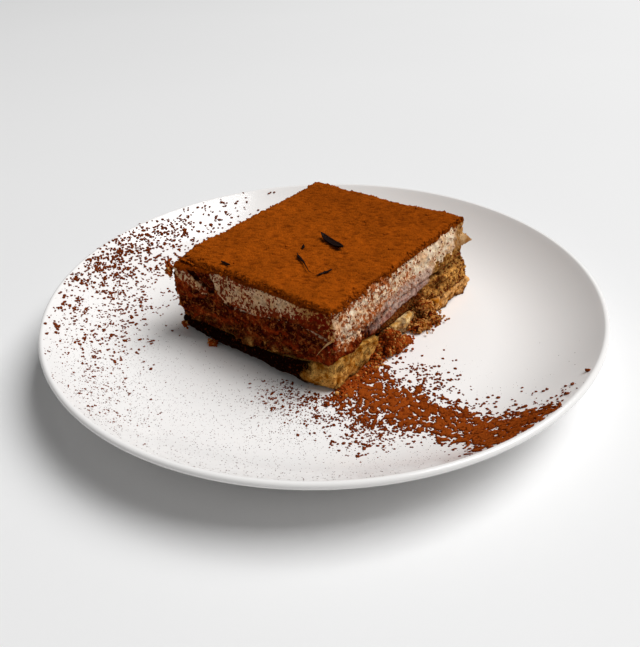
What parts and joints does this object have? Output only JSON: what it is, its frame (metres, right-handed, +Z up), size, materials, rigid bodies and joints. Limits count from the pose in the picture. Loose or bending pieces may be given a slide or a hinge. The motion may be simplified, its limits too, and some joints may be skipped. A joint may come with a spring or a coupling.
{
  "type": "tiramisu slice on a plate",
  "caption": "Rectangular tiramisu slice with cocoa top, mascarpone and soaked ladyfinger layers, on a round white coupe plate dusted with cocoa.",
  "frame": {"origin": "centre of the plate, on the plane its foot ring stands on", "axes": "+Z up; -Y out of the slice's long cut face, -X out of its short one, lower ladyfingers along Y"},
  "size_m": [0.23, 0.23, 0.045],
  "materials": {
    "glazed_porcelain": "white porcelain, glossy clear glaze",
    "soaked_ladyfinger": "porous golden sponge soaked with coffee",
    "coffee_sponge": "open-pored sponge, dark where coffee has soaked in",
    "mascarpone_cream": "thick cream, soft satin, specked with cocoa",
    "smeared_cream": "thin greyish cream drawn out by a knife, satin",
    "cocoa_powder": "sifted cocoa powder, fully matte and granular",
    "cocoa_crumb": "damp sponge crumbs rolled in cocoa, matte",
    "dark_chocolate": "dark chocolate shaving, faint sheen"
  },
  "bodies": {
    "root": {"plate": "glazed_porcelain", "ladyfinger_lower_1": "soaked_ladyfinger", "ladyfinger_lower_2": "soaked_ladyfinger", "ladyfinger_lower_3": "soaked_ladyfinger", "sponge_upper": "coffee_sponge", "mascarpone": "mascarpone_cream", "mascarpone_smear": "smeared_cream", "cocoa_top": "cocoa_powder", "crumb_heap_middle": "cocoa_crumb", "crumb_heap_right": "cocoa_crumb", "chocolate_shaving_1": "dark_chocolate", "chocolate_shaving_2": "dark_chocolate", "chocolate_shaving_3": "dark_chocolate", "chocolate_shaving_4": "dark_chocolate", "chocolate_shaving_5": "dark_chocolate"}
  },
  "joints": []
}
